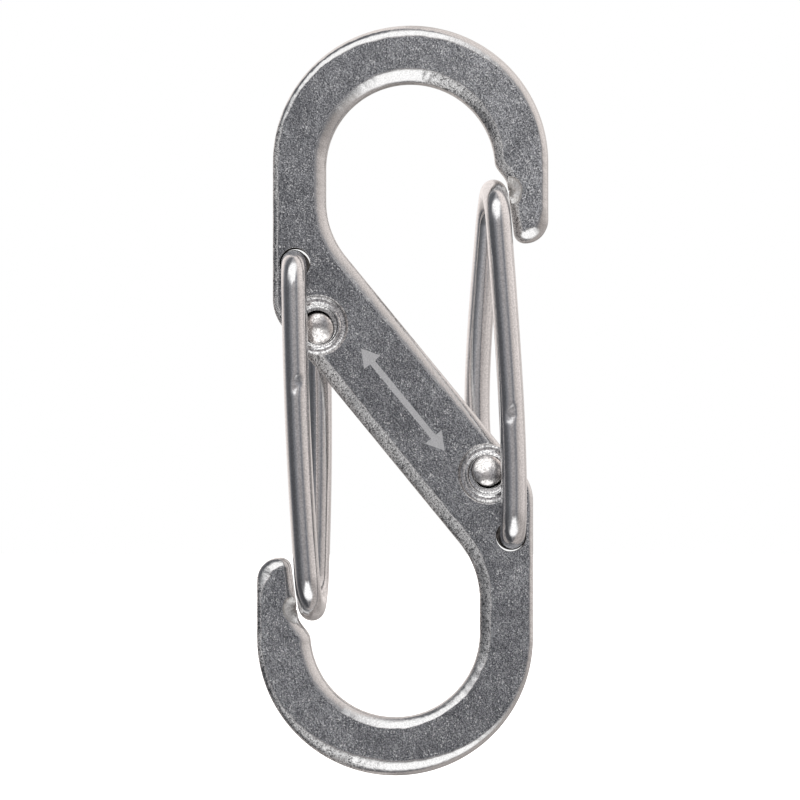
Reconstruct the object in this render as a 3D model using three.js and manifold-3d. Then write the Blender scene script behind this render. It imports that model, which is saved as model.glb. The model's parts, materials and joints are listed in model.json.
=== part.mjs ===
// A small double-gated carabiner: a flat stainless steel plate cut to an S, which makes a hook at
// each end, and a sprung wire gate that closes each hook.
//
// Millimetres. +Z runs along the S, +X points to the side where the upper hook opens, and the
// front face looks along -Y. The origin is the middle of the plate. The lower half of everything
// is the upper half turned by half a turn about Y, so the sizes below describe the upper half.

import * as THREE from 'three';
import { mergeVertices } from 'three/addons/utils/BufferGeometryUtils.js';
import Module from 'manifold-3d';

// The plate
const PLATE_THICKNESS = 2.3;
const EDGE_BEVEL = 0.5;
const LOOP_MIDDLE_X = 0.52;
const OUTER_RADIUS = 9.18;
const OUTER_MIDDLE_Z = 15.82;
const INNER_RADIUS = 5.65;
const INNER_MIDDLE_Z = 15.5;
const BAR_HALF_WIDTH = 3.11;
const BAR_TILT = THREE.MathUtils.degToRad(39.3);
const SPINE_CORNER_RADIUS = 3;
const CROTCH_RADIUS = 6;

// The nose of the hook, where the gate shuts
const NOSE_END_Z = 10.5;
const NOSE_INNER_X = 7.42;
const NOSE_OUTER_CORNER_RADIUS = 1.5;
const NOSE_INNER_CORNER_RADIUS = 0.75;
const SHOULDER_TOP_Z = 15.95;
const SHOULDER_FOOT = new THREE.Vector2(7.0, 14.4);
const NOTCH_MIDDLE = new THREE.Vector2(6.88, 13.9);
const NOTCH_FACE_RADIUS = 1.1;
const NOTCH_WAIST_RADIUS = 0.3;

// The gate: one wire whose two legs turn in two holes, one entered from each face
const WIRE_RADIUS = 0.85;
const WIRE_SIDES = 12;
const LEG_OFFSET = 2.2;
const BEND_RADIUS = 1.05;
const CROWN_MIDDLE_Z = 11.68;
const CROWN_SPLIT_GAP = 0.3;
const LEG_TOP_Z = 13.2;
const FRONT_PIVOT = new THREE.Vector2(7.25, -9.1);
const BACK_PIVOT = new THREE.Vector2(5.7, -4.93);
const FRONT_LEG_TOP_X = 6.25;
const BACK_LEG_TOP_X = 5.85;

// How far each leg bows sideways, and where along it the bow peaks: 1 is half way, and less is
// nearer the pivot. The two gates came off the bending tool a little different.
const GATES = [
  { name: 'upper_gate', turned: false,
    front: { bow: 0.33, peak: 0.65 }, back: { bow: -0.75, peak: 0.55 } },
  { name: 'lower_gate', turned: true,
    front: { bow: 0.19, peak: 1 }, back: { bow: -0.15, peak: 1 } },
];

// The holes that the wire turns in: a clear hole, and on the far face a countersink in which the
// end of the wire is peened to a low dome, just under the face. The countersink on the bar is
// wide and stepped, and the one beside the narrow spine is plain. Profiles are [radius, depth].
const HOLE_RADIUS = 1.1;
const HOLE_SIDES = 20;
const BAR_SINK = [[HOLE_RADIUS, 0.95], [1.5, 0.46], [1.75, 0.38], [2.03, 0]];
const SPINE_SINK = [[HOLE_RADIUS, 0.75], [1.25, 0.45], [1.5, 0]];
const HEAD_PROFILE = [[0.85, 0.8], [1.0, 0.6], [0.95, 0.42], [0.72, 0.24], [0.38, 0.15], [0, 0.12]];
const PAST_FACE = 1;

const plateSteel = new THREE.MeshStandardMaterial(
  { color: 0x8f949b, roughness: 0.42, metalness: 1 });
const wireSteel = new THREE.MeshStandardMaterial(
  { color: 0xb9b6b2, roughness: 0.22, metalness: 1 });

const wasm = await Module();
wasm.setup();

// ---------------------------------------------------------------- outline of the plate

// Rounds the corner between the path's current point and the way to `next`.
function roundCorner(path, corner, next, radius) {
  const back = path.currentPoint.clone().sub(corner).normalize();
  const on = next.clone().sub(corner).normalize();
  const halfAngle = Math.acos(back.dot(on)) / 2;
  const start = corner.clone().addScaledVector(back, radius / Math.tan(halfAngle));
  const end = corner.clone().addScaledVector(on, radius / Math.tan(halfAngle));
  const middle = back.clone().add(on).normalize()
    .multiplyScalar(radius / Math.sin(halfAngle)).add(corner);
  const from = start.clone().sub(middle);
  const to = end.clone().sub(middle);
  path.lineTo(start.x, start.y);
  path.absarc(middle.x, middle.y, radius, from.angle(), to.angle(), from.cross(to) < 0);
}

// A point on the edge of the diagonal bar at height z: side is +1 on its upper right edge.
function barEdge(z, side) {
  return new THREE.Vector2(side * BAR_HALF_WIDTH / Math.cos(BAR_TILT) - z * Math.tan(BAR_TILT), z);
}

// The height at which an edge of the bar meets the upright line at x.
function barHeightAt(x, side) {
  return (side * BAR_HALF_WIDTH / Math.cos(BAR_TILT) - x) / Math.tan(BAR_TILT);
}

// Half of the outline: from the upper nose over the loop and down the bar, then round the inside
// of the lower loop to the lower nose. The other half is this one turned by half a turn.
function halfOutline() {
  const outerRight = LOOP_MIDDLE_X + OUTER_RADIUS;
  const outerLeft = LOOP_MIDDLE_X - OUTER_RADIUS;
  const innerRight = INNER_RADIUS - LOOP_MIDDLE_X;
  const path = new THREE.Path();

  path.moveTo(NOSE_INNER_X, NOSE_END_Z + NOSE_INNER_CORNER_RADIUS);
  roundCorner(path, new THREE.Vector2(NOSE_INNER_X, NOSE_END_Z),
    new THREE.Vector2(outerRight, NOSE_END_Z), NOSE_INNER_CORNER_RADIUS);
  roundCorner(path, new THREE.Vector2(outerRight, NOSE_END_Z),
    new THREE.Vector2(outerRight, OUTER_MIDDLE_Z), NOSE_OUTER_CORNER_RADIUS);
  path.absarc(LOOP_MIDDLE_X, OUTER_MIDDLE_Z, OUTER_RADIUS, 0, Math.PI, false);

  roundCorner(path, new THREE.Vector2(outerLeft, barHeightAt(outerLeft, -1)), barEdge(0, -1),
    SPINE_CORNER_RADIUS);
  roundCorner(path, new THREE.Vector2(innerRight, barHeightAt(innerRight, -1)),
    new THREE.Vector2(innerRight, -INNER_MIDDLE_Z), CROTCH_RADIUS);

  const shoulderRise = Math.asin((SHOULDER_TOP_Z - INNER_MIDDLE_Z) / INNER_RADIUS);
  path.absarc(-LOOP_MIDDLE_X, -INNER_MIDDLE_Z, INNER_RADIUS, 0, Math.PI + shoulderRise, true);
  const shoulder = path.currentPoint;
  path.bezierCurveTo(shoulder.x - 0.06, shoulder.y + 0.6,
    -SHOULDER_FOOT.x + 0.1, -SHOULDER_FOOT.y - 0.65, -SHOULDER_FOOT.x, -SHOULDER_FOOT.y);
  return path.getPoints(14);
}

function turnedHalfWay(points) {
  return points.map((point) => point.clone().negate());
}

// ---------------------------------------------------------------- solids

function toSolid(geometry) {
  const bare = geometry.clone();
  bare.deleteAttribute('normal');
  bare.deleteAttribute('uv');
  const merged = mergeVertices(bare, 1e-4);
  return new wasm.Manifold(new wasm.Mesh({
    numProp: 3,
    vertProperties: new Float32Array(merged.attributes.position.array),
    triVerts: new Uint32Array(merged.index.array),
  }));
}

function toMesh(solid, name, material) {
  const { vertProperties, triVerts } = solid.getMesh();
  const geometry = new THREE.BufferGeometry();
  geometry.setAttribute('position', new THREE.BufferAttribute(vertProperties, 3));
  geometry.setIndex(new THREE.BufferAttribute(triVerts, 1));
  geometry.computeVertexNormals();
  const mesh = new THREE.Mesh(geometry, material);
  mesh.name = name;
  return mesh;
}

// A turned shape about the Y axis through (place.x, place.y), from [radius, y] pairs that start
// and end on the axis. `side` is -1 to turn it round to the front face.
function turned(profile, place, side) {
  const points = profile.map(([radius, y]) => new THREE.Vector2(radius, y));
  const geometry = new THREE.LatheGeometry(points, HOLE_SIDES);
  if (side < 0) geometry.rotateX(Math.PI);
  return toSolid(geometry.translate(place.x, 0, place.y));
}

// The clear hole and its countersink, which opens on the face at side * Y.
function pivotHole(place, side, sinkProfile) {
  const face = PLATE_THICKNESS / 2;
  const sink = sinkProfile.map(([radius, depth]) => [radius, face - depth]);
  const [mouthRadius] = sinkProfile.at(-1);
  return turned([[0, -face - PAST_FACE], [HOLE_RADIUS, -face - PAST_FACE], ...sink,
    [mouthRadius, face + PAST_FACE], [0, face + PAST_FACE]], place, side);
}

// The seat pressed into the nose from both faces, where the middle of the gate's crown rests.
function notch() {
  const face = PLATE_THICKNESS / 2;
  return turned([[0, -face - PAST_FACE], [NOTCH_FACE_RADIUS, -face - PAST_FACE],
    [NOTCH_FACE_RADIUS, -face], [NOTCH_WAIST_RADIUS, 0], [NOTCH_FACE_RADIUS, face],
    [NOTCH_FACE_RADIUS, face + PAST_FACE], [0, face + PAST_FACE]], NOTCH_MIDDLE, 1);
}

function halfTurn(solid) {
  return solid.rotate([0, 180, 0]);
}

function plate() {
  const half = halfOutline();
  const outline = new THREE.Shape([...half, ...turnedHalfWay(half)]);
  const geometry = new THREE.ExtrudeGeometry(outline, {
    depth: PLATE_THICKNESS - 2 * EDGE_BEVEL,
    bevelThickness: EDGE_BEVEL,
    bevelSize: EDGE_BEVEL,
    bevelOffset: -EDGE_BEVEL,
    bevelSegments: 2,
  });
  geometry.translate(0, 0, EDGE_BEVEL - PLATE_THICKNESS / 2);
  geometry.rotateX(Math.PI / 2);
  const cuts = [pivotHole(FRONT_PIVOT, 1, SPINE_SINK), pivotHole(BACK_PIVOT, -1, BAR_SINK), notch()];
  return cuts.reduce((solid, cut) => solid.subtract(cut).subtract(halfTurn(cut)),
    toSolid(geometry));
}

// ---------------------------------------------------------------- gates

// A curve through given points whose rings stand at those points, close together in the bends.
class WireLine extends THREE.CatmullRomCurve3 {
  getUtoTmapping(u) { return u; }
}

// Where a leg's middle line runs, seen from the front.
function legX(z, pivot, topX, shape) {
  const along = THREE.MathUtils.clamp((z - pivot.y) / (LEG_TOP_Z - pivot.y), 0, 1);
  const straight = THREE.MathUtils.lerp(pivot.x, topX, along);
  return straight + shape.bow * Math.sin(Math.PI * along ** shape.peak);
}

// The middle line of half a gate: the pin in its hole, the bend, the leg and half the crown.
// side is -1 for the half in front of the plate and 1 for the half behind it.
function halfGateLine(gate, side) {
  const pivot = side < 0 ? FRONT_PIVOT : BACK_PIVOT;
  const frontX = (z) => legX(z, FRONT_PIVOT, FRONT_LEG_TOP_X, gate.front);
  const backX = (z) => legX(z, BACK_PIVOT, BACK_LEG_TOP_X, gate.back);
  const ownX = side < 0 ? frontX : backX;
  const [, headDepth] = HEAD_PROFILE[0];
  const points = [];

  const pinEnd = -side * (PLATE_THICKNESS / 2 - headDepth);
  const bendStart = side * (LEG_OFFSET - BEND_RADIUS);
  for (const y of [pinEnd, (pinEnd + bendStart) / 2]) {
    points.push(new THREE.Vector3(pivot.x, y, pivot.y));
  }
  const bendSteps = 6;
  for (let i = 0; i <= bendSteps; i++) {
    const angle = Math.PI / 2 * i / bendSteps;
    const z = pivot.y + BEND_RADIUS * (1 - Math.cos(angle));
    points.push(new THREE.Vector3(ownX(z), bendStart + side * BEND_RADIUS * Math.sin(angle), z));
  }
  const legSteps = 12;
  const legStart = pivot.y + BEND_RADIUS;
  for (let i = 1; i < legSteps; i++) {
    const z = THREE.MathUtils.lerp(legStart, CROWN_MIDDLE_Z, i / legSteps);
    points.push(new THREE.Vector3(ownX(z), side * LEG_OFFSET, z));
  }
  const crownSteps = 7;
  const crownEnd = Math.acos(CROWN_SPLIT_GAP / 2 / LEG_OFFSET);
  for (let i = 0; i <= crownSteps; i++) {
    const angle = crownEnd * i / crownSteps;
    const z = CROWN_MIDDLE_Z + LEG_OFFSET * Math.sin(angle);
    const y = side * LEG_OFFSET * Math.cos(angle);
    const behind = (1 + y / LEG_OFFSET) / 2;
    points.push(new THREE.Vector3(THREE.MathUtils.lerp(frontX(z), backX(z), behind), y, z));
  }
  return points;
}

function halfGate(gate, side) {
  const ring = [];
  for (let i = 0; i < WIRE_SIDES; i++) {
    const angle = 2 * Math.PI * i / WIRE_SIDES;
    ring.push(new THREE.Vector2(WIRE_RADIUS * Math.cos(angle), WIRE_RADIUS * Math.sin(angle)));
  }
  const line = halfGateLine(gate, side);
  const wire = toSolid(new THREE.ExtrudeGeometry(new THREE.Shape(ring),
    { extrudePath: new WireLine(line), steps: line.length - 1 }));

  const pivot = side < 0 ? FRONT_PIVOT : BACK_PIVOT;
  const [neckRadius, neckDepth] = HEAD_PROFILE[0];
  const face = PLATE_THICKNESS / 2;
  const dome = HEAD_PROFILE.map(([radius, depth]) => [radius, face - depth]);
  const foot = face - neckDepth - neckRadius / 4;
  const head = turned([[0, foot], [neckRadius, foot], ...dome], pivot, -side);
  const solid = wire.add(head);
  return gate.turned ? halfTurn(solid) : solid;
}

// ---------------------------------------------------------------- the carabiner

const carabiner = new THREE.Group();
carabiner.add(toMesh(plate(), 'frame_plate', plateSteel));
for (const gate of GATES) {
  carabiner.add(toMesh(halfGate(gate, -1), `${gate.name}_front_leg`, wireSteel));
  carabiner.add(toMesh(halfGate(gate, 1), `${gate.name}_back_leg`, wireSteel));
}

export default carabiner;
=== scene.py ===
# Looks for a small double-gated S carabiner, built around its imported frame: the plate with its
# rounded, tumbled edges and turned gate holes, and the two bent wire gates. The sizes below are
# in millimetres, and the scene is in metres, +Z up.
import json
import math

import bpy
import numpy as np
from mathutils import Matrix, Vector, noise


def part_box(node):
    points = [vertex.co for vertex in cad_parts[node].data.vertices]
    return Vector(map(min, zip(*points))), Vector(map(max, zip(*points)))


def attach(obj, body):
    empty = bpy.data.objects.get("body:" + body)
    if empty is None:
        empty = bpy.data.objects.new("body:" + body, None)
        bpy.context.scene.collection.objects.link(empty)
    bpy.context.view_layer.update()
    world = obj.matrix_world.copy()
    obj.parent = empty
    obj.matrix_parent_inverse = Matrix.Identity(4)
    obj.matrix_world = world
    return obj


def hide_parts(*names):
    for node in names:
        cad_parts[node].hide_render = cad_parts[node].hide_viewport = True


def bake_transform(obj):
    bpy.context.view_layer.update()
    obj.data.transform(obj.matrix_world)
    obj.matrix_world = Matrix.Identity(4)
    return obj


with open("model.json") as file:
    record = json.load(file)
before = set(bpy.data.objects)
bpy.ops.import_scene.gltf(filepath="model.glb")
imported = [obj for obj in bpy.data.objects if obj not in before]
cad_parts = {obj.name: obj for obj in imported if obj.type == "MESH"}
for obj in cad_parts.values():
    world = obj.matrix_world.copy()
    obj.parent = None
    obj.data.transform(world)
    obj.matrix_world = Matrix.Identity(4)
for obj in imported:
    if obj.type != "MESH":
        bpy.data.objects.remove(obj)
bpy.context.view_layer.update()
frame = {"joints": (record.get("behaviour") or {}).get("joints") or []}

MM = 0.001

# ------------------------------------------------------------------ sizes, in millimetres

plate_low, plate_high = (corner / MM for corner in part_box("frame_plate"))
wire_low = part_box("upper_gate_front_leg")[0] / MM
joints = {joint["name"]: Vector(joint["pos_m"]) / MM for joint in frame["joints"]}

FACE = plate_high.y
LOOP_MIDDLE_X = 0.52
OUTER_RADIUS = plate_high.x - LOOP_MIDDLE_X
OUTER_MIDDLE_Z = plate_high.z - OUTER_RADIUS
INNER_RADIUS = 5.65
INNER_MIDDLE_Z = 15.5
BAR_HALF_WIDTH = 3.11
BAR_TILT = math.radians(39.3)
SPINE_CORNER_RADIUS = 3.0
CROTCH_RADIUS = 6.0

NOSE_END_Z = 10.5
NOSE_INNER_X = 7.42
NOSE_OUTER_CORNER_RADIUS = 1.5
NOSE_INNER_CORNER_RADIUS = 0.75
SHOULDER_TOP_Z = 15.95
SHOULDER_FOOT = (7.0, 14.4)
# Where the shoulder's curve is pulled to, from its top and from its foot
SHOULDER_TOP_PULL = (-0.06, 0.6)
SHOULDER_FOOT_PULL = (0.1, -0.65)
NOTCH_MIDDLE = (6.88, 13.9)

# The rounding as (width, depth, roundness): at the ends of the S, at the tips of its noses and
# their inner corners, down its spine, along its bar and at the inner ends of its loops. The
# blanking was uneven, so the noses, the inner sides of the loops and the shoulders beside the
# noses differ between the two loops.
END_ROUNDING = (0.80, 0.72, 1.9)
NOSE_TIP_ROUNDING = (0.76, 0.48, 1.45)
NOSE_CORNER_ROUNDING = (0.50, 0.46, 1.55)
SPINE_ROUNDING = (0.28, 0.28, 1.7)
BAR_ROUNDING = (0.60, 0.42, 1.4)
INNER_ROUNDING = (0.74, 0.44, 1.35)
UPPER_NOSE = {"inside": (0.34, 0.34, 1.6), "outside": (0.46, 0.45, 1.6)}
LOWER_NOSE = {"inside": (0.48, 0.40, 1.5), "outside": (0.22, 0.26, 1.7)}
UPPER_LOOP = {"side": (0.78, 0.44, 1.35), "shoulder": (0.44, 0.40, 1.4)}
LOWER_LOOP = {"side": (0.56, 0.40, 1.4), "shoulder": (0.72, 0.43, 1.35)}
# On the front the rounding is wider, by up to this share, where the edge faces this way (x, z)
WIDER_SIDE = (-0.7, -0.71)
WIDER_BY = 0.45
# How late the rounding of an end fades in, as a power of the way there
END_FADE = 2.5
# Where the rounding of a nose takes over from its tip's, in corner radii above the tip, and how
# far below the spine's corner that of the bar takes over
NOSE_TAKES_OVER = 1.1
BAR_TAKES_OVER = 0.8

# Steps of the outline before and after it is resampled, and how many steps its roundings are
# smoothed over on each side
ARC_STEP = 0.1
BEZIER_POINTS = 25
OUTLINE_STEP = 0.09
SMOOTHING_REACH = 12

WIRE_RADIUS = 0.85
LEG_OFFSET = -wire_low.y - WIRE_RADIUS
BEND_RADIUS = 1.05
BEND_RISE = 1.8
CROWN_MIDDLE_Z = 11.68
# Where the legs end and the crown's own piece begins
SEAM_Z = CROWN_MIDDLE_Z - 1.2
LEG_TOP_Z = 13.2
FRONT_PIVOT = joints["upper_gate_swing"]
BACK_PIVOT = Vector((5.7, 0, -4.93))
FRONT_LEG_TOP_X = 6.25
BACK_LEG_TOP_X = 5.85
HOLE_RADIUS = 1.0

# The blanking left the edges that face this way (x, y, z) torn, and the colour darkens their pits
# with painted shade
TORN_SIDE = (-0.87, 0, -0.5)

# The arrow on the bar, from its middle: half the shaft's width and length, where a head starts
# and ends, and half a head's width for each millimetre of its length
ARROW_HALF_WIDTH = 0.2
ARROW_SHAFT_END = 3.4
ARROW_HEAD_START = 3.2
ARROW_TIP = 4.4
ARROW_FLARE = 0.6
# Anything nearer the camera than this is on the front face
FRONT_Y = -0.5

# Slots of the plate's materials, in the order that make_plate gives them
FACE_SLOT, EDGE_SLOT, TURNED_SLOT, PRESSED_SLOT, BORE_SHADE_SLOT, WALL_SLOT = range(6)
# Slots of the gates' materials
WIRE_SLOT, HEAD_SLOT, IN_HOLE_SHADE_SLOT = range(3)

# ------------------------------------------------------------------ node helpers


class Nodes:
    """Makes and links the nodes of one material or world."""

    def __init__(self, tree):
        self.tree = tree
        tree.nodes.clear()

    def add(self, kind, inputs=None, **settings):
        node = self.tree.nodes.new(kind)
        for name, value in settings.items():
            setattr(node, name, value)
        for name, value in (inputs or {}).items():
            self.set(node.inputs[name], value)
        return node

    def set(self, socket, value):
        if isinstance(value, bpy.types.NodeSocket):
            self.tree.links.new(value, socket)
        else:
            socket.default_value = value

    def math(self, operation, a, b=0.0):
        return self.add("ShaderNodeMath", {0: a, 1: b}, operation=operation).outputs[0]

    def range(self, value, low, high, to_low=0.0, to_high=1.0):
        """Goes smoothly from to_low to to_high as the value goes from low to high."""
        node = self.add("ShaderNodeMapRange", {
            "Value": value, "From Min": low, "From Max": high,
            "To Min": to_low, "To Max": to_high}, interpolation_type="SMOOTHSTEP")
        return node.outputs["Result"]

    def noise(self, vector, scale, detail=2.0, roughness=0.5):
        """Noise around 0.5; its scale is per metre, so 10000 makes a grain of about 0.1 mm."""
        node = self.add("ShaderNodeTexNoise", {
            "Vector": vector, "Scale": scale, "Detail": detail, "Roughness": roughness})
        return node.outputs["Fac"]

    def stretch(self, vector, scale, lean=0.0):
        """Scales a vector's axes, after leaning it by an angle about Y."""
        node = self.add("ShaderNodeMapping", {
            "Vector": vector, "Scale": [1 / factor for factor in scale],
            "Rotation": (0, lean, 0)}, vector_type="TEXTURE")
        return node.outputs["Vector"]

    def mix(self, factor, a, b):
        node = self.add("ShaderNodeMix", data_type="RGBA")
        self.set(node.inputs[0], factor)
        self.set(node.inputs[6], a)
        self.set(node.inputs[7], b)
        return node.outputs[2]

    def shade(self, value, low, high, painted_pit_shade, light):
        """Goes from one colour to the other as the value goes from low to high."""
        return self.mix(self.range(value, low, high), (*painted_pit_shade, 1), (*light, 1))

    def bump(self, height, strength, distance, normal=None):
        node = self.add("ShaderNodeBump", {
            "Height": height, "Strength": strength, "Distance": distance})
        if normal is not None:
            self.set(node.inputs["Normal"], normal)
        return node.outputs["Normal"]


def steel(name):
    """A metallic material with its node helper, its shader and its object coordinates."""
    material = bpy.data.materials.new(name)
    material.use_nodes = True
    nodes = Nodes(material.node_tree)
    output = nodes.add("ShaderNodeOutputMaterial")
    shader = nodes.add("ShaderNodeBsdfPrincipled", {"Metallic": 1.0})
    nodes.set(output.inputs["Surface"], shader.outputs["BSDF"])
    coordinates = nodes.add("ShaderNodeTexCoord")
    return material, nodes, shader, coordinates


def arrow_mask(nodes, place):
    """1 inside a plain double-headed arrow along the middle of the bar on the front face."""
    turned = nodes.add("ShaderNodeMapping", {"Vector": place, "Rotation": (0, BAR_TILT, 0)})
    split = nodes.add("ShaderNodeSeparateXYZ", {"Vector": turned.outputs["Vector"]}).outputs
    across = nodes.math("ABSOLUTE", split["X"])
    along = nodes.math("ABSOLUTE", split["Z"])
    shaft = nodes.math("MULTIPLY", nodes.math("LESS_THAN", across, ARROW_HALF_WIDTH * MM),
                       nodes.math("LESS_THAN", along, ARROW_SHAFT_END * MM))
    flare = nodes.math("MULTIPLY", nodes.math("SUBTRACT", ARROW_TIP * MM, along), ARROW_FLARE)
    head = nodes.math("MULTIPLY", nodes.math("LESS_THAN", across, flare),
                      nodes.math("GREATER_THAN", along, ARROW_HEAD_START * MM))
    front = nodes.math("LESS_THAN", split["Y"], FRONT_Y * MM)
    return nodes.math("MULTIPLY", nodes.math("MAXIMUM", shaft, head), front)


def face_steel():
    """The flat faces: tumbled, so finely pitted and with short scratches; their colour also holds
    painted glints, and painted light that makes them lighter at the ends.
    """
    material, nodes, shader, coordinates = steel("tumbled_face")
    place = coordinates.outputs["Object"]
    grain = nodes.noise(place, 10500, 2.0, 0.6)
    fine = nodes.noise(place, 20000, 2.0, 0.7)
    scratches = [nodes.noise(nodes.stretch(place, (12500, 12500, 2200), lean), 1.0, 2.0, 0.6)
                 for lean in (-0.7, 0.1)]
    scratch = nodes.math("MULTIPLY", nodes.math("ADD", *scratches), 0.5)
    cloud = nodes.noise(place, 600, 3.0)
    split = nodes.add("ShaderNodeSeparateXYZ", {"Vector": place}).outputs
    # About -1 at the lower left end of the S and 1 at its upper right
    way = nodes.math("ADD", nodes.math("MULTIPLY", split["X"], 55.0),
                     nodes.math("MULTIPLY", split["Z"], 22.0))
    # Painted glints: bright specks in the colour that stand in for facets catching the light; they
    # come in patches and more often at the upper right
    patches = nodes.range(nodes.noise(place, 1400, 1.0), 0.45, 0.7, to_high=0.06)
    often = nodes.math("ADD", patches, nodes.range(way, 0.3, 1.0, to_high=0.05))
    painted_glint = nodes.range(nodes.math("ADD", nodes.noise(place, 11000, 1.0), often), 0.65, 0.72)

    # The grey is made of pits, finer pits and scratches, and painted light makes it lighter
    # towards both ends
    tone = nodes.math("MULTIPLY", nodes.range(grain, 0.38, 0.66), 0.38)
    tone = nodes.math("ADD", tone, nodes.math("MULTIPLY", nodes.range(fine, 0.36, 0.68), 0.40))
    tone = nodes.math("ADD", tone, nodes.math("MULTIPLY", nodes.range(scratch, 0.41, 0.62), 0.22))
    tone = nodes.math("MULTIPLY", tone, nodes.range(cloud, 0.3, 0.7, 0.88, 1.12))
    # Painted light: the tone rises towards both ends of the S, standing in for the brighter
    # reflections there
    painted_light_ends = nodes.math("ABSOLUTE", nodes.math("ADD", way, 0.3))
    tone = nodes.math("MULTIPLY", tone, nodes.range(painted_light_ends, 0.0, 1.1, 0.96, 1.27))
    tone = nodes.math("POWER", tone, 1.6)
    colour = nodes.mix(tone, (0.055, 0.058, 0.068, 1), (0.80, 0.81, 0.84, 1))
    # Painted glints: the bright specks turn the colour towards white
    colour = nodes.mix(nodes.math("MULTIPLY", painted_glint, 0.8), colour, (1, 1, 1, 1))
    etched = nodes.math("MULTIPLY", arrow_mask(nodes, place),
                        nodes.range(fine, 0.3, 0.6, 0.45, 1.0))
    colour = nodes.mix(etched, colour, (0.74, 0.74, 0.75, 1))
    nodes.set(shader.inputs["Base Color"], colour)
    gloss = nodes.range(fine, 0.3, 0.7, 0.48, 0.28)
    frosting = nodes.math("MULTIPLY", etched, 0.6)
    nodes.set(shader.inputs["Roughness"], nodes.math("MAXIMUM", gloss, frosting))
    relief = nodes.math("ADD", grain, nodes.math("MULTIPLY", scratch, 0.7))
    relief = nodes.math("ADD", relief, nodes.math("MULTIPLY", fine, 0.5))
    nodes.set(shader.inputs["Normal"], nodes.bump(relief, 0.8, 0.022 * MM))
    return material


def edge_steel():
    """The rounded edges: polished by the tumbling, but torn and pitted on the TORN_SIDE, where
    painted shade darkens the pits.
    """
    material, nodes, shader, coordinates = steel("rounded_edge")
    place = coordinates.outputs["Object"]
    # How far the surface leans from the flat face, and how directly it faces the TORN_SIDE
    outward = nodes.add("ShaderNodeVectorMath", {0: coordinates.outputs["Normal"], 1: (1, 0, 1)},
                        operation="MULTIPLY").outputs["Vector"]
    lean = nodes.add("ShaderNodeVectorMath", {0: outward}, operation="LENGTH").outputs["Value"]
    facing = nodes.add("ShaderNodeVectorMath", {0: outward, 1: TORN_SIDE}, operation="DOT_PRODUCT")
    facing = nodes.math("DIVIDE", facing.outputs["Value"], nodes.math("MAXIMUM", lean, 0.01))
    torn = nodes.math("MULTIPLY", nodes.range(facing, 0.55, 0.8), nodes.range(lean, 0.04, 0.16))
    fine = nodes.noise(place, 14000, 2.0, 0.6)
    pits = nodes.noise(place, 7000, 3.0, 0.65)
    colour = nodes.shade(fine, 0.3, 0.7, (0.61, 0.605, 0.605), (0.80, 0.795, 0.79))
    # Painted shade: the pits on the torn side are darkened towards near-black in the colour
    painted_pit_shade = nodes.math("MULTIPLY", nodes.range(pits, 0.41, 0.49, 0.75, 0.0), torn)
    colour = nodes.mix(painted_pit_shade, colour, (0.12, 0.118, 0.12, 1))
    nodes.set(shader.inputs["Base Color"], colour)
    gloss = nodes.range(pits, 0.35, 0.7, 0.11, 0.22)
    matt = nodes.math("MULTIPLY", torn, 0.1)
    nodes.set(shader.inputs["Roughness"], nodes.math("ADD", gloss, matt))
    worn = nodes.range(nodes.noise(place, 420, 2.0), 0.4, 0.6, 0.35, 1.0)
    depth = nodes.range(torn, 0.0, 1.0, 0.014 * MM, 0.1 * MM)
    nodes.set(shader.inputs["Normal"], nodes.bump(pits, worn, depth))
    return material


def wall_steel():
    """The walls left by the blanking: a little darker, with shear lines from face to face."""
    material, nodes, shader, coordinates = steel("sheared_wall")
    place = coordinates.outputs["Object"]
    lines = nodes.noise(nodes.stretch(place, (5000, 500, 5000)), 1.0, 3.0, 0.6)
    grain = nodes.noise(place, 9000, 2.0, 0.6)
    tone = nodes.math("ADD", nodes.math("MULTIPLY", lines, 0.6),
                      nodes.math("MULTIPLY", grain, 0.4))
    colour = nodes.shade(tone, 0.35, 0.65, (0.40, 0.395, 0.39), (0.62, 0.61, 0.60))
    nodes.set(shader.inputs["Base Color"], colour)
    nodes.set(shader.inputs["Roughness"], nodes.range(tone, 0.35, 0.65, 0.38, 0.28))
    nodes.set(shader.inputs["Normal"], nodes.bump(lines, 0.4, 0.02 * MM))
    return material


def bore_shade_steel():
    """Painted shade for the walls of the pierced holes, the pins inside them and the undersides of
    the heads: a dull, near-black steel standing in for the shade in there.
    """
    material, nodes, shader, coordinates = steel("painted_shade_bore")
    fine = nodes.noise(coordinates.outputs["Object"], 5000, 2.0, 0.6)
    colour = nodes.shade(fine, 0.35, 0.65, (0.07, 0.068, 0.065), (0.2, 0.195, 0.19))
    nodes.set(shader.inputs["Base Color"], colour)
    nodes.set(shader.inputs["Roughness"], 0.45)
    return material


def turned_steel():
    """The countersinks and the eased rims of the holes: bright cut metal."""
    material, nodes, shader, coordinates = steel("turned_hole")
    fine = nodes.noise(coordinates.outputs["Object"], 9500, 3.0, 0.65)
    colour = nodes.shade(fine, 0.36, 0.62, (0.34, 0.34, 0.35), (0.97, 0.96, 0.95))
    nodes.set(shader.inputs["Base Color"], colour)
    nodes.set(shader.inputs["Roughness"], nodes.range(fine, 0.3, 0.7, 0.22, 0.12))
    nodes.set(shader.inputs["Normal"], nodes.bump(fine, 0.3, 0.015 * MM))
    return material


def pressed_steel():
    """The seats pressed into the noses: bare and dull, lighter than the tumbled faces."""
    material, nodes, shader, coordinates = steel("pressed_seat")
    place = coordinates.outputs["Object"]
    fine = nodes.noise(place, 6500, 3.0, 0.65)
    colour = nodes.shade(fine, 0.3, 0.65, (0.66, 0.65, 0.635), (0.98, 0.97, 0.95))
    nodes.set(shader.inputs["Base Color"], colour)
    nodes.set(shader.inputs["Roughness"], nodes.range(fine, 0.3, 0.7, 0.5, 0.34))
    nodes.set(shader.inputs["Normal"], nodes.bump(fine, 0.6, 0.05 * MM))
    return material


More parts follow.
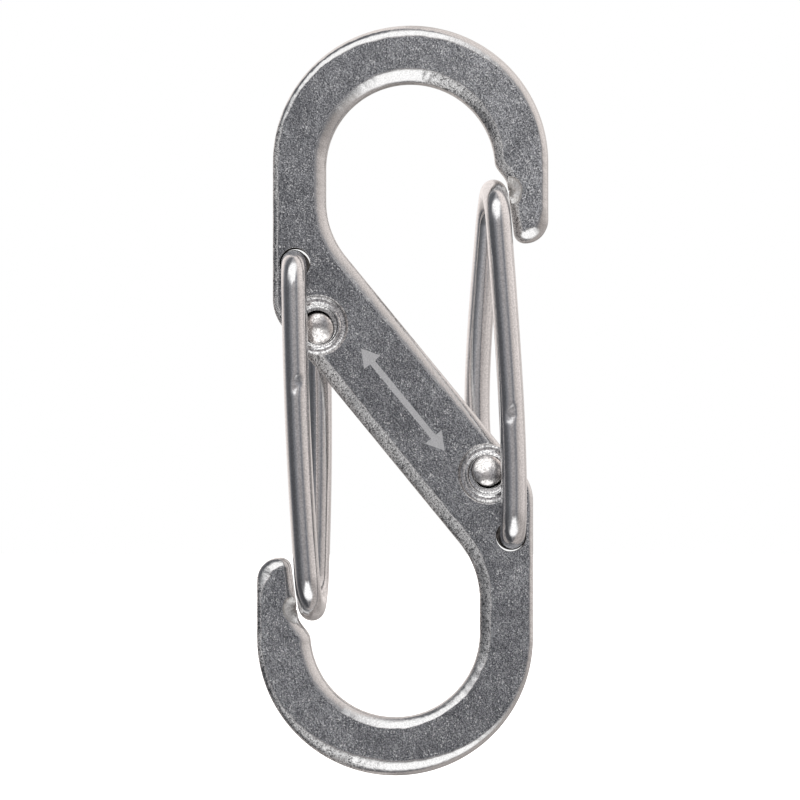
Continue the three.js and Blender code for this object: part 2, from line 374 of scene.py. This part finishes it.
def wire_steel():
    """The bright drawn wire: smooth, with faint draw lines along it and a light grain."""
    material, nodes, shader, coordinates = steel("drawn_wire")
    place = coordinates.outputs["Object"]
    wrap = nodes.add("ShaderNodeUVMap", uv_map="wrap").outputs["UV"]
    lines = nodes.noise(nodes.stretch(wrap, (9000, 240, 1)), 1.0, 2.0, 0.6)
    grain = nodes.noise(place, 9000, 2.0, 0.6)
    wear = nodes.noise(place, 700, 2.0, 0.5)
    tone = nodes.math("ADD", nodes.math("MULTIPLY", grain, 0.75),
                      nodes.math("MULTIPLY", lines, 0.25))
    colour = nodes.shade(tone, 0.35, 0.65, (0.66, 0.655, 0.66), (0.86, 0.85, 0.85))
    nodes.set(shader.inputs["Base Color"], colour)
    nodes.set(shader.inputs["Roughness"], nodes.range(wear, 0.35, 0.65, 0.10, 0.18))
    relief = nodes.bump(lines, 0.08, 0.008 * MM)
    nodes.set(shader.inputs["Normal"], nodes.bump(grain, 0.15, 0.008 * MM, relief))
    return material


def head_steel():
    """The peened heads: the same wire, hammered, so grainier and duller."""
    material, nodes, shader, coordinates = steel("peened_head")
    place = coordinates.outputs["Object"]
    grain = nodes.noise(place, 6500, 3.0, 0.65)
    blows = nodes.noise(place, 2600, 1.0)
    colour = nodes.shade(grain, 0.35, 0.62, (0.55, 0.53, 0.52), (0.97, 0.94, 0.92))
    nodes.set(shader.inputs["Base Color"], colour)
    nodes.set(shader.inputs["Roughness"], nodes.range(grain, 0.3, 0.7, 0.27, 0.15))
    relief = nodes.bump(blows, 0.5, 0.05 * MM)
    nodes.set(shader.inputs["Normal"], nodes.bump(grain, 0.35, 0.025 * MM, relief))
    return material


# ------------------------------------------------------------------ outline of the plate


def bar_edge(z, side):
    """A point on an edge of the diagonal bar at height z; side is +1 on its upper right edge."""
    return np.array([side * BAR_HALF_WIDTH / math.cos(BAR_TILT) - z * math.tan(BAR_TILT), z])


def bar_height_at(x, side):
    """The height at which an edge of the bar meets the upright line at x."""
    return (side * BAR_HALF_WIDTH / math.cos(BAR_TILT) - x) / math.tan(BAR_TILT)


class Outline:
    """Points (x, z) along the edge of the plate, each with its (width, depth, roundness).

    Roundness 2 is a circular rounding, and 1 a plain chamfer.
    """

    def __init__(self, start, rounding):
        self.points = [np.array(start, float)]
        self.roundings = [rounding]

    def line(self, end, rounding):
        self.points.append(np.array(end, float))
        self.roundings.append(rounding)

    def arc(self, middle, radius, start, end, rounding):
        """rounding is a triple, or a function of the angle that gives one."""
        count = max(4, int(abs(end - start) * radius / ARC_STEP))
        for angle in np.linspace(start, end, count + 1):
            spot = np.array(middle) + radius * np.array([math.cos(angle), math.sin(angle)])
            self.line(spot, rounding(angle) if callable(rounding) else rounding)

    def corner(self, corner, onward, radius, rounding):
        """Rounds the corner between the last point and the way to `onward`."""
        corner = np.array(corner, float)
        back = self.points[-1] - corner
        on = np.array(onward, float) - corner
        back /= np.linalg.norm(back)
        on /= np.linalg.norm(on)
        half = math.acos(back @ on) / 2
        bisector = (back + on) / np.linalg.norm(back + on)
        middle = corner + bisector * radius / math.sin(half)
        first = corner + back * radius / math.tan(half) - middle
        last = corner + on * radius / math.tan(half) - middle
        start = math.atan2(first[1], first[0])
        turn = math.atan2(first[0] * last[1] - first[1] * last[0], first @ last)
        self.arc(middle, radius, start, start + turn, rounding)

    def bezier(self, one, two, end, rounding):
        """A curve from the last point to the end, pulled towards the points one and two."""
        start = self.points[-1]
        for t in np.linspace(0, 1, BEZIER_POINTS)[1:]:
            self.line((1 - t) ** 3 * start + 3 * t * (1 - t) ** 2 * np.array(one)
                      + 3 * t * t * (1 - t) * np.array(two) + t ** 3 * np.array(end), rounding)


def half_outline(nose, loop):
    """Half of the edge, from the upper nose over the loop and down the bar to the lower nose.

    nose has the roundings of the nose it starts from, and loop those of the loop it ends in.
    """
    outer_right = LOOP_MIDDLE_X + OUTER_RADIUS
    outer_left = LOOP_MIDDLE_X - OUTER_RADIUS
    inner_right = INNER_RADIUS - LOOP_MIDDLE_X

    def outer_rounding(angle):
        side = np.array(nose["outside"] if angle < math.pi / 2 else SPINE_ROUNDING)
        return side + (np.array(END_ROUNDING) - side) * math.sin(angle) ** END_FADE

    def inner_rounding(angle):
        side = np.array(loop["side"] if math.cos(angle) > 0 else loop["shoulder"])
        return side + (np.array(INNER_ROUNDING) - side) * (1 - abs(math.cos(angle)))

    path = Outline((NOSE_INNER_X, NOSE_END_Z + NOSE_INNER_CORNER_RADIUS), nose["inside"])
    path.corner((NOSE_INNER_X, NOSE_END_Z), (outer_right, NOSE_END_Z),
                NOSE_INNER_CORNER_RADIUS, NOSE_CORNER_ROUNDING)
    path.corner((outer_right, NOSE_END_Z), (outer_right, OUTER_MIDDLE_Z),
                NOSE_OUTER_CORNER_RADIUS, NOSE_TIP_ROUNDING)
    path.line((outer_right, NOSE_END_Z + NOSE_TAKES_OVER * NOSE_OUTER_CORNER_RADIUS),
              nose["outside"])
    path.arc((LOOP_MIDDLE_X, OUTER_MIDDLE_Z), OUTER_RADIUS, 0, math.pi, outer_rounding)
    path.corner((outer_left, bar_height_at(outer_left, -1)), bar_edge(0, -1),
                SPINE_CORNER_RADIUS, SPINE_ROUNDING)
    path.line(bar_edge(path.points[-1][1] - BAR_TAKES_OVER, -1), BAR_ROUNDING)
    path.corner((inner_right, bar_height_at(inner_right, -1)), (inner_right, -INNER_MIDDLE_Z),
                CROTCH_RADIUS, loop["side"])
    rise = math.asin((SHOULDER_TOP_Z - INNER_MIDDLE_Z) / INNER_RADIUS)
    path.arc((-LOOP_MIDDLE_X, -INNER_MIDDLE_Z), INNER_RADIUS, 0, -math.pi + rise, inner_rounding)
    top = path.points[-1]
    foot = -np.array(SHOULDER_FOOT)
    path.bezier(top + SHOULDER_TOP_PULL, foot + SHOULDER_FOOT_PULL, foot, loop["shoulder"])
    return np.array(path.points), np.array(path.roundings)


def whole_outline():
    """The closed edge resampled to an even step, with its roundings smoothed along it."""
    points, first = half_outline(UPPER_NOSE, LOWER_LOOP)
    _, second = half_outline(LOWER_NOSE, UPPER_LOOP)
    path = np.hstack([np.vstack([points, -points]), np.vstack([first, second])])
    path = np.vstack([path, path[:1]])
    run = np.concatenate([[0], np.cumsum(np.linalg.norm(np.diff(path[:, :2], axis=0), axis=1))])
    moved = np.concatenate([[True], np.diff(run) > 1e-6])
    path, run = path[moved], run[moved]
    along = np.linspace(0, run[-1], int(run[-1] / OUTLINE_STEP), endpoint=False)
    path = np.stack([np.interp(along, run, column) for column in path.T], axis=1)
    spots, roundings = path[:, :2], path[:, 2:]
    reach = SMOOTHING_REACH
    window = np.hanning(2 * reach + 1)
    window /= window.sum()
    padded = np.vstack([roundings[-reach:], roundings, roundings[:reach]])
    smooth = [np.convolve(column, window, mode="valid") for column in padded.T]
    return spots, np.stack(smooth, axis=1)


# ------------------------------------------------------------------ meshes


def mesh_object(name, vertices, faces, materials, face_slots=None):
    """A smooth mesh from points in millimetres; face_slots has each face's material slot."""
    mesh = bpy.data.meshes.new(name)
    mesh.from_pydata([tuple(np.array(v) * MM) for v in vertices], [], faces)
    for material in materials:
        mesh.materials.append(material)
    if face_slots is not None:
        mesh.polygons.foreach_set("material_index", face_slots)
    mesh.polygons.foreach_set("use_smooth", [True] * len(mesh.polygons))
    mesh.update()
    made = bpy.data.objects.new(name, mesh)
    bpy.context.scene.collection.objects.link(made)
    return made


def ring_faces(rings, count):
    """Quads between rings of `count` points, each ring following the one before."""
    faces = []
    for r in range(rings - 1):
        for i in range(count):
            j = (i + 1) % count
            faces.append((r * count + i, r * count + j, (r + 1) * count + j, (r + 1) * count + i))
    return faces


def ripple(spot, scale, seed):
    """Smooth noise between about -1 and 1, with about `scale` waves to the millimetre."""
    return noise.noise(Vector(spot) * scale + Vector((seed, 2 * seed, 3 * seed)))


def ripples(spot, waves):
    """The sum of the ripples of some (amount, scale, seed)."""
    return sum(amount * ripple(spot, scale, seed) for amount, scale, seed in waves)


# Unevenness of the rounded edges, as (amount in mm, scale, seed): of their width, and dents all
# over them. The noise of each face is read this far from the plate's middle, and that of the
# dents this much further for each radian of tilt.
CHIPS = ((0.07, 1.1, 3), (0.03, 3, 9))
DENTS = ((0.01, 2.5, 5), (0.008, 5, 7))
NOISE_APART = 4
NOISE_DRIFT = 0.8
# Edges that don't face left have this share of the dents, and the change is this sudden
DENTS_ELSEWHERE = 0.25
DENTS_FADE = 2.5
# Rings across each rounding, and points round a turned cutter
ROUNDING_RINGS = 12
TURNED_SIDES = 96


def plate_blank(materials):
    """The S before its holes: both faces, both roundings and the flat wall between them."""
    spots, roundings = whole_outline()
    count = len(spots)
    tangent = np.roll(spots, -1, axis=0) - np.roll(spots, 1, axis=0)
    tangent /= np.linalg.norm(tangent, axis=1)[:, None]
    inward = np.stack([-tangent[:, 1], tangent[:, 0]], axis=1)

    # Each ring is (face it belongs to, tilt): tilt 0 meets the flat face and 90 degrees the wall.
    # The ring in the middle of the wall belongs to neither face.
    tilts = np.linspace(0, math.pi / 2, ROUNDING_RINGS)
    rings = [(-1, tilt) for tilt in tilts]
    rings.append((0, math.pi / 2))
    rings += [(1, tilt) for tilt in tilts[::-1]]

    vertices = []
    for side, tilt in rings:
        for (x, z), (nx, nz), (width, depth, roundness) in zip(spots, inward, roundings):
            chips = ripples((x, side * NOISE_APART, z), CHIPS)
            dents = ripples((x, side * (NOISE_APART + NOISE_DRIFT * tilt), z), DENTS)
            leftward = min(max(DENTS_FADE * nx, 0), 1)
            dents *= DENTS_ELSEWHERE + (1 - DENTS_ELSEWHERE) * leftward
            dents *= math.sin(2 * tilt) ** 0.5 if 0 < tilt < math.pi / 2 else 0
            wider = 1 + WIDER_BY * max(-nx * WIDER_SIDE[0] - nz * WIDER_SIDE[1], 0) * (side < 0)
            inset = (1 - math.sin(tilt) ** (2 / roundness)) * (width * wider + chips) + dents
            drop = (1 - math.cos(tilt) ** (2 / roundness)) * depth + dents
            vertices.append((x + nx * inset, side * (FACE - max(drop, 0)), z + nz * inset))

    faces = ring_faces(len(rings), count)
    slots = np.full(len(faces), EDGE_SLOT)
    slots[(len(tilts) - 1) * count:(len(tilts) + 1) * count] = WALL_SLOT
    slots = slots.tolist() + [FACE_SLOT, FACE_SLOT]
    front = tuple(range(count))
    back = tuple(range((len(rings) - 1) * count, len(rings) * count))
    faces += [front[::-1], back]
    return mesh_object("plate", vertices, faces, materials, slots)


# How the noise of a rough cutter is stretched, and its scale
ROUGH_STRETCH = 1.4
ROUGH_SCALE = 1.6


def turned_cutter(name, profile, place, side, materials, slots, rough=0.0):
    """A solid turned about Y from (radius, y) pairs; side -1 turns it round to the front face.

    slots has the material slot of each band between two pairs. Its ends lie outside the plate,
    so their slot never shows. rough is how far it strays from its radius, in mm.
    """
    vertices = []
    for radius, y in profile:
        for i in range(TURNED_SIDES):
            angle = 2 * math.pi * i / TURNED_SIDES
            x = math.cos(angle)
            z = math.sin(angle)
            spot = (ROUGH_STRETCH * x, ROUGH_STRETCH * y, ROUGH_STRETCH * z)
            reach = radius + rough * ripple(spot, ROUGH_SCALE, place[1])
            vertices.append((place[0] + reach * x, side * y, place[1] + reach * z))
    faces = ring_faces(len(profile), TURNED_SIDES)
    first = tuple(range(TURNED_SIDES))
    last = tuple(range((len(profile) - 1) * TURNED_SIDES, len(profile) * TURNED_SIDES))
    faces += [first[::-1], last]
    if side > 0:
        faces = [face[::-1] for face in faces]
    face_slots = list(np.repeat(slots, TURNED_SIDES)) + [FACE_SLOT, FACE_SLOT]
    return mesh_object(name, vertices, faces, materials, face_slots)


# Profiles of the holes are (radius, depth below the face), from the clear hole out to the mouth.
# Their rings keep a few micrometres off the plane of the face, where the cut can lose a hole.
BAR_SINK = ((HOLE_RADIUS, 0.52), (1.015, 0.44), (1.04, 0.41), (1.1, 0.4), (1.28, 0.395),
            (1.33, 0.375), (1.37, 0.345), (1.41, 0.325), (1.45, 0.32), (1.49, 0.33), (1.53, 0.35),
            (1.57, 0.37), (1.61, 0.378), (1.7, 0.375), (1.78, 0.368), (1.86, 0.35), (1.89, 0.3),
            (1.905, 0.2), (1.92, 0.13), (1.94, 0.09), (1.98, 0.055), (2.02, 0.025), (2.06, 0.004),
            (2.1, -0.04))
SPINE_SINK = ((HOLE_RADIUS, 0.60), (1.03, 0.52), (1.15, 0.46), (1.27, 0.38), (1.36, 0.22),
              (1.44, 0.06), (1.5, 0.004), (1.54, -0.05))
ENTRY = ((HOLE_RADIUS, 0.04), (1.01, 0.015), (1.028, 0.003), (1.045, -0.05))
# The holes the front legs enter sit this far towards the middle of the S from their pins
ENTRY_SHIFT = 0.07
# How far the cutters reach past the faces
PAST = 1.0
# The seat in a nose, from its mouth down to its waist, and how rough it is
SEAT = ((1.16, -PAST), (1.1, 0.0), (1.04, 0.13), (0.9, 0.24), (0.65, 0.34), (0.42, 0.5),
        (0.22, 0.9))
SEAT_ROUGHNESS = 0.07


def pivot_hole(name, place, side, sink, materials):
    """The clear hole, its countersink on the face at side * Y and its eased rim on the other."""
    profile = [(ENTRY[-1][0], -FACE - PAST)]
    profile += [(radius, depth - FACE) for radius, depth in reversed(ENTRY)]
    profile += [(radius, FACE - depth) for radius, depth in sink]
    profile.append((sink[-1][0], FACE + PAST))
    slots = [TURNED_SLOT] * (len(profile) - 1)
    for band, ((inner, _), (outer, _)) in enumerate(zip(profile, profile[1:])):
        # The clear bore takes the dark steel of painted shade
        if inner == outer == HOLE_RADIUS:
            slots[band] = BORE_SHADE_SLOT
    return turned_cutter(name, profile, place, side, materials, slots)


def notch_cutter(name, place, materials):
    """The seat for the gate's crown, pressed into the nose from both faces to a narrow waist."""
    half = [(radius, FACE - depth) for radius, depth in SEAT]
    profile = [(radius, -y) for radius, y in half] + half[::-1]
    slots = [PRESSED_SLOT] * (len(profile) - 1)
    return turned_cutter(name, profile, place, 1, materials, slots, SEAT_ROUGHNESS)


def cut(body, cutter):
    """Takes the cutter out of the body, and removes it."""
    boolean = body.modifiers.new("cut", "BOOLEAN")
    boolean.operation = "DIFFERENCE"
    boolean.solver = "EXACT"
    boolean.object = cutter
    apply_modifiers(body)
    bpy.data.objects.remove(cutter)


def apply_modifiers(body):
    """Gives the body the mesh that its modifiers make."""
    graph = bpy.context.evaluated_depsgraph_get()
    made = bpy.data.meshes.new_from_object(body.evaluated_get(graph), depsgraph=graph)
    body.modifiers.clear()
    body.data = made


def make_plate(bore):
    """The S with its rounded edges, four holes and two seats; bore is the dark steel of painted
    shade for the holes.
    """
    materials = [face_steel(), edge_steel(), turned_steel(), pressed_steel(), bore, wall_steel()]
    body = plate_blank(materials)
    for turn in (1, -1):
        front = (turn * (FRONT_PIVOT.x - ENTRY_SHIFT), turn * FRONT_PIVOT.z)
        bar = (turn * BACK_PIVOT.x, turn * BACK_PIVOT.z)
        nose = (turn * NOTCH_MIDDLE[0], turn * NOTCH_MIDDLE[1])
        cut(body, pivot_hole("spine_hole", front, 1, SPINE_SINK, materials))
        cut(body, pivot_hole("bar_hole", bar, -1, BAR_SINK, materials))
        cut(body, notch_cutter("notch", nose, materials))
    body.data.set_sharp_from_angle(angle=math.radians(38))
    weighted = body.modifiers.new("even_faces", "WEIGHTED_NORMAL")
    weighted.keep_sharp = True
    weighted.weight = 80
    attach(body, "frame")
    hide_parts("frame_plate")


# ------------------------------------------------------------------ gates

# How far each leg bows sideways, and where along it the bow peaks: 1 is half way, and less is
# nearer the pivot. They are those of the frame's solids.
GATES = {
    "upper_gate": {"turn": 1, "front": (0.33, 0.65), "back": (-0.75, 0.55)},
    "lower_gate": {"turn": -1, "front": (0.19, 1.0), "back": (-0.15, 1.0)},
}
# A peened head as (radius, depth below the face), from the top of its dome down to the pin
HEAD = ((0.0, -0.11), (0.2, -0.1), (0.4, -0.073), (0.6, -0.028), (0.78, 0.028), (0.92, 0.085),
        (1.0, 0.135), (1.04, 0.185), (1.03, 0.225), (0.98, 0.255), (0.9, 0.28),
        (WIRE_RADIUS, 0.46))
# The heads are peened off their pins' middles, pulled and tilted towards the crown, less on
# the front leg (side -1) than on the back leg (side 1)
HEAD_LEAN = {-1: (0, 0.12), 1: (-0.05, 0.23)}
HEAD_TILT = 0.16
# The lean of a head and the swelling of a pin fade out along the pin, as this power of the way
PIN_FADE = 4

# A tool mark on the front of each front leg: its height, size and depth, how far it is aside of
# the wire's middle and how it slants, how much steeper its lower end is, its roughness as (share
# of the depth, scale, seed), and the depth below which it is left smooth
MARK_HEIGHT = -1.1
MARK_HALF_LENGTH = 0.7
MARK_HALF_WIDTH = 0.34
MARK_DEPTH = 0.06
MARK_ASIDE = 0.12
MARK_SLANT = 0.16
MARK_STEEPNESS = 1.6
MARK_ROUGHNESS = ((0.7, 3.5, 1),)
MARK_FAINT = 0.002

# Points round the wire, and rings along its bends, legs and crown
WIRE_SIDES = 48
BEND_RINGS = 25
LEG_RINGS = 180
SEAM_RINGS = 9
CROWN_RINGS = 61
# How many bands of a leg's tube are its head's dome, how many are its pin below the head, and
# how many lie on or in the plate
DOME = 7
NECK_BANDS = 9
# The bands from under the head's rim down into the plate take the dark steel of painted shade
IN_HOLE = len(HEAD) - 1 + NECK_BANDS
# The peening swells the pins in their holes, to these radii
SWOLLEN = {-1: 0.9, 1: 0.985}


def leg_x(z, pivot, top_x, shape):
    """Where a leg's middle line runs, seen from the front."""
    bow, peak = shape
    along = np.clip((z - pivot.z) / (LEG_TOP_Z - pivot.z), 0, 1)
    return pivot.x + (top_x - pivot.x) * along + bow * math.sin(math.pi * along ** peak)


def gate_x(z, gate, behind):
    """The same for the whole gate; behind is 0 on the front leg and 1 on the back leg."""
    front = leg_x(z, FRONT_PIVOT, FRONT_LEG_TOP_X, gate["front"])
    back = leg_x(z, BACK_PIVOT, BACK_LEG_TOP_X, gate["back"])
    return front + (back - front) * behind


def leg_line(gate, side):
    """Points and radii from the peened head through the hole and up the leg to the seam."""
    pivot = FRONT_PIVOT if side < 0 else BACK_PIVOT
    behind = 0 if side < 0 else 1
    line = []
    for radius, depth in HEAD:
        lean = 1 - max(depth / HEAD[-1][1], 0) ** PIN_FADE
        x = pivot.x + lean * HEAD_LEAN[side][0]
        z = pivot.z + lean * HEAD_LEAN[side][1]
        line.append(((x, -side * (FACE - depth), z), radius))
    neck = -side * (FACE - HEAD[-1][1])
    bend_start = side * (LEG_OFFSET - BEND_RADIUS)
    for along in np.linspace(0, 1, NECK_BANDS + 1)[1:-1]:
        radius = SWOLLEN[side] + (WIRE_RADIUS - SWOLLEN[side]) * along ** PIN_FADE
        line.append(((pivot.x, neck + (bend_start - neck) * along, pivot.z), radius))
    for angle in np.linspace(0, math.pi / 2, BEND_RINGS):
        z = pivot.z + BEND_RISE * (1 - math.cos(angle))
        y = bend_start + side * BEND_RADIUS * math.sin(angle)
        line.append(((gate_x(z, gate, behind), y, z), WIRE_RADIUS))
    for z in np.linspace(pivot.z + BEND_RISE, SEAM_Z, LEG_RINGS)[1:]:
        line.append(((gate_x(z, gate, behind), side * LEG_OFFSET, z), WIRE_RADIUS))
    return line


def crown_line(gate):
    """Points and radii over the crown, from the seam on the front leg to that on the back leg."""
    line = []
    for z in np.linspace(SEAM_Z, CROWN_MIDDLE_Z, SEAM_RINGS)[1:-1]:
        line.append(((gate_x(z, gate, 0), -LEG_OFFSET, z), WIRE_RADIUS))
    for angle in np.linspace(0, math.pi, CROWN_RINGS):
        z = CROWN_MIDDLE_Z + LEG_OFFSET * math.sin(angle)
        behind = (1 - math.cos(angle)) / 2
        line.append(((gate_x(z, gate, behind), -LEG_OFFSET * math.cos(angle), z), WIRE_RADIUS))
    for z in np.linspace(CROWN_MIDDLE_Z, SEAM_Z, SEAM_RINGS)[1:-1]:
        line.append(((gate_x(z, gate, 1), LEG_OFFSET, z), WIRE_RADIUS))
    return line


def tube_rings(line):
    """Rings of points round the line, each starting on the side that faces the plate."""
    spots = np.array([spot for spot, _ in line])
    tangents = np.gradient(spots, axis=0)
    tangents[:len(HEAD) - 1] = (0, -1, -HEAD_TILT)
    tangents[1 - len(HEAD):] = (0, -1, HEAD_TILT)
    tangents /= np.linalg.norm(tangents, axis=1)[:, None]
    across = np.array([1.0, 0, 0])
    rings = []
    for spot, tangent, (_, radius) in zip(spots, tangents, line):
        across = across - (across @ tangent) * tangent
        across /= np.linalg.norm(across)
        other = np.cross(tangent, across)
        ring = []
        for i in range(WIRE_SIDES):
            angle = 2 * math.pi * i / WIRE_SIDES + math.pi / 2
            ring.append(spot + radius * (math.cos(angle) * across + math.sin(angle) * other))
        rings.append(ring)
    return np.array(rings)


def press_mark(rings):
    """Presses the tool mark into the front of the front leg: slanted, with a steep lower end."""
    middles = rings.mean(axis=1)
    away = np.where(middles[:, 1] < -FACE, np.abs(middles[:, 2] - MARK_HEIGHT), np.inf)
    offset = rings - middles[np.argmin(away)]
    run = offset[..., 2] / MARK_HALF_LENGTH
    side = (offset[..., 0] + MARK_ASIDE - MARK_SLANT * run) / MARK_HALF_WIDTH
    reach = np.sqrt(np.where(run < 0, MARK_STEEPNESS * run, run) ** 2 + side ** 2)
    pressed = MARK_DEPTH * np.exp(-reach ** 4) * (offset[..., 1] < 0)
    for ring, spot in np.argwhere(pressed > MARK_FAINT):
        pressed[ring, spot] *= 1 + ripples(rings[ring, spot], MARK_ROUGHNESS)
    rings[..., 1] += pressed


def tube(name, rings, turn, materials, headed=None):
    """A closed tube through the rings, turned about Y by half a turn when turn is -1.

    headed is 0 or -1 when the first or the last end of the tube is a peened head.
    """
    vertices = rings.reshape(-1, 3) * (turn, 1, turn)
    count = len(rings)
    sides = [face[::-1] for face in ring_faces(count, WIRE_SIDES)]
    start = tuple(range(WIRE_SIDES))
    end = tuple(range((count - 1) * WIRE_SIDES, count * WIRE_SIDES))[::-1]
    slots = np.full(len(sides) + 2, WIRE_SLOT)
    if headed is not None:
        bands = slots[:-2].reshape(count - 1, WIRE_SIDES)[::1 if headed == 0 else -1]
        # Painted shade: the head's rim and underside and the pin in the plate take the dark steel
        bands[:IN_HOLE] = IN_HOLE_SHADE_SLOT
        bands[:DOME] = HEAD_SLOT
        slots[-2 - headed] = HEAD_SLOT
    made = mesh_object(name, vertices, sides + [start, end], materials, slots.tolist())
    made.data.set_sharp_from_angle(angle=math.radians(60))
    middles = rings.mean(axis=1)
    run = np.concatenate([[0], np.cumsum(np.linalg.norm(np.diff(middles, axis=0), axis=1))])
    girth = 2 * math.pi * WIRE_RADIUS
    layer = made.data.uv_layers.new(name="wrap")
    for polygon in list(made.data.polygons)[:len(sides)]:
        ring, first = divmod(polygon.index, WIRE_SIDES)
        for loop, (dr, di) in zip(polygon.loop_indices, ((1, 0), (1, 1), (0, 1), (0, 0))):
            wrap = (first + di) / WIRE_SIDES * girth
            layer.data[loop].uv = (wrap * MM, run[ring + dr] * MM)
    return made


def make_gate(name, gate, materials):
    """One wire in three pieces: two legs, each rigid with its pin, and the crown between them."""
    front, crown, back = leg_line(gate, -1), crown_line(gate), leg_line(gate, 1)
    rings = tube_rings(front + crown + back[::-1])
    press_mark(rings)
    last = len(front) - 1
    first = last + len(crown) + 1
    for leg, part, headed in (("front", rings[:last + 1], 0), ("back", rings[first:], -1)):
        made = tube(f"{name}_{leg}", part, gate["turn"], materials, headed)
        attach(made, f"{name}_{leg}")
        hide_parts(f"{name}_{leg}_leg")
    made = tube(f"{name}_crown", rings[last:first + 1], gate["turn"], materials)
    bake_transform(made)


# ------------------------------------------------------------------ stage


# How far away the camera is, how far it is raised, and the width and the middle of what it sees
CAMERA_DISTANCE = 300
CAMERA_RISE = math.radians(-1.5)
VIEW_WIDTH = 53.4
VIEW_MIDDLE_X = -0.19


def make_camera():
    """A long lens square to the plate, a little below it and looking up."""
    data = bpy.data.cameras.new("camera")
    data.sensor_width = 36
    data.lens = data.sensor_width * CAMERA_DISTANCE / VIEW_WIDTH
    data.clip_start = 0.01
    data.clip_end = 10
    camera = bpy.data.objects.new("camera", data)
    bpy.context.scene.collection.objects.link(camera)
    aim = Vector((VIEW_MIDDLE_X, 0, 0)) * MM
    back = Vector((0, -math.cos(CAMERA_RISE), math.sin(CAMERA_RISE)))
    camera.location = aim + back * (CAMERA_DISTANCE * MM)
    camera.rotation_mode = "QUATERNION"
    camera.rotation_quaternion = (-back).to_track_quat("-Z", "Y")
    bpy.context.scene.camera = camera


# Brightness of the studio against the compass: degrees from the camera's side, + to the right
AROUND = ((-180, 0.6), (-165, 1.0), (-148, 1.05), (-122, 0.75), (-106, 0.36), (-96, 0.14),
          (-70, 0.10), (-52, 0.12), (-36, 0.23), (-20, 0.35), (-6, 0.40), (8, 0.36), (16, 0.27),
          (23, 0.20), (31, 0.37), (45, 0.54), (60, 0.66), (85, 0.72), (102, 0.84), (120, 0.56),
          (135, 0.64), (150, 0.76), (165, 0.6), (180, 0.5))
# Where the two softboxes are, round the camera's axis: degrees from +X, + towards +Z
SOFTBOXES = ((-180, 0), (-150, 0.06), (-134, 0.14), (-116, 1), (-60, 1), (-40, 0.12), (-25, 0),
             (52, 0), (76, 1), (136, 0.9), (162, 0.06), (180, 0))
SOFTBOX_LEVEL = 1.4
# Tints of the studio where it is dim and where it is bright
COOL = (0.955, 0.985, 1.07)
WARM = (1.04, 0.965, 0.93)


def make_world():
    """A white studio: softboxes above and below, a pale warm wall right, cool dark flags left."""
    world = bpy.data.worlds.new("studio")
    bpy.context.scene.world = world
    world.use_nodes = True
    nodes = Nodes(world.node_tree)
    direction = nodes.add("ShaderNodeTexCoord").outputs["Generated"]
    split = nodes.add("ShaderNodeSeparateXYZ", {"Vector": direction}).outputs

    def ramp(up, right, stops):
        turn = nodes.math("DIVIDE", nodes.math("ARCTAN2", up, right), 2 * math.pi)
        node = nodes.add("ShaderNodeValToRGB", {"Fac": nodes.math("ADD", turn, 0.5)})
        elements = node.color_ramp.elements
        while len(elements) < len(stops):
            elements.new(1.0)
        for element, (degrees, level) in zip(elements, stops):
            element.position = degrees / 360 + 0.5
            element.color = (level, level, level, 1)
        return node.outputs["Color"]

    away = nodes.math("MULTIPLY", split["Y"], -1.0)
    around = ramp(split["X"], away, AROUND)
    tint = nodes.mix(nodes.range(around, 0.15, 0.55), (*COOL, 1), (*WARM, 1))
    height = nodes.range(split["Z"], -0.3, 0.3, 0.68, 1.32)
    around = nodes.mix(nodes.math("MULTIPLY", around, height), (0, 0, 0, 1), tint)
    boxes = ramp(split["Z"], split["X"], SOFTBOXES)
    # The softboxes are a ring round the camera: they leave out the middle, which the flat faces
    # reflect, and end before the sides
    tilted = nodes.range(away, 0.97, 0.93)
    ahead = nodes.range(away, 0.32, 0.52)
    lit = nodes.math("MULTIPLY", nodes.math("MULTIPLY", tilted, ahead), boxes)
    light = nodes.mix(lit, around, (SOFTBOX_LEVEL, SOFTBOX_LEVEL, SOFTBOX_LEVEL, 1))
    seen = nodes.add("ShaderNodeLightPath").outputs["Is Camera Ray"]
    colour = nodes.mix(seen, light, (1, 1, 1, 1))
    background = nodes.add("ShaderNodeBackground", {"Color": colour, "Strength": 1.0})
    output = nodes.add("ShaderNodeOutputWorld")
    nodes.set(output.inputs["Surface"], background.outputs["Background"])


# How far the floor reaches each way, and how far it is below the lowest point
FLOOR_REACH = 3000
FLOOR_GAP = 10


def make_floor():
    """A plain pale floor and the soft light that falls on it."""
    material = bpy.data.materials.new("pale_floor")
    material.use_nodes = True
    shader = material.node_tree.nodes["Principled BSDF"]
    shader.inputs["Base Color"].default_value = (0.86, 0.86, 0.86, 1)
    shader.inputs["Roughness"].default_value = 0.9
    level = plate_low.z - FLOOR_GAP
    corners = [(FLOOR_REACH * x, FLOOR_REACH * y, level)
               for x, y in ((-1, -1), (1, -1), (1, 1), (-1, 1))]
    floor = mesh_object("floor", corners, [(0, 1, 2, 3)], [material])
    floor.visible_glossy = False

    data = bpy.data.lights.new("overhead", "SUN")
    data.energy = 5
    data.angle = math.radians(60)
    lamp = bpy.data.objects.new("overhead", data)
    bpy.context.scene.collection.objects.link(lamp)
    lamp.rotation_euler = (math.radians(20), math.radians(-15), 0)
    lamp.visible_glossy = False


make_camera()
make_world()
make_floor()
bore_shade_material = bore_shade_steel()
make_plate(bore_shade_material)
gate_materials = [wire_steel(), head_steel(), bore_shade_material]
for gate_name, gate_shape in GATES.items():
    make_gate(gate_name, gate_shape, gate_materials)

bpy.context.scene.view_settings.view_transform = "Standard"
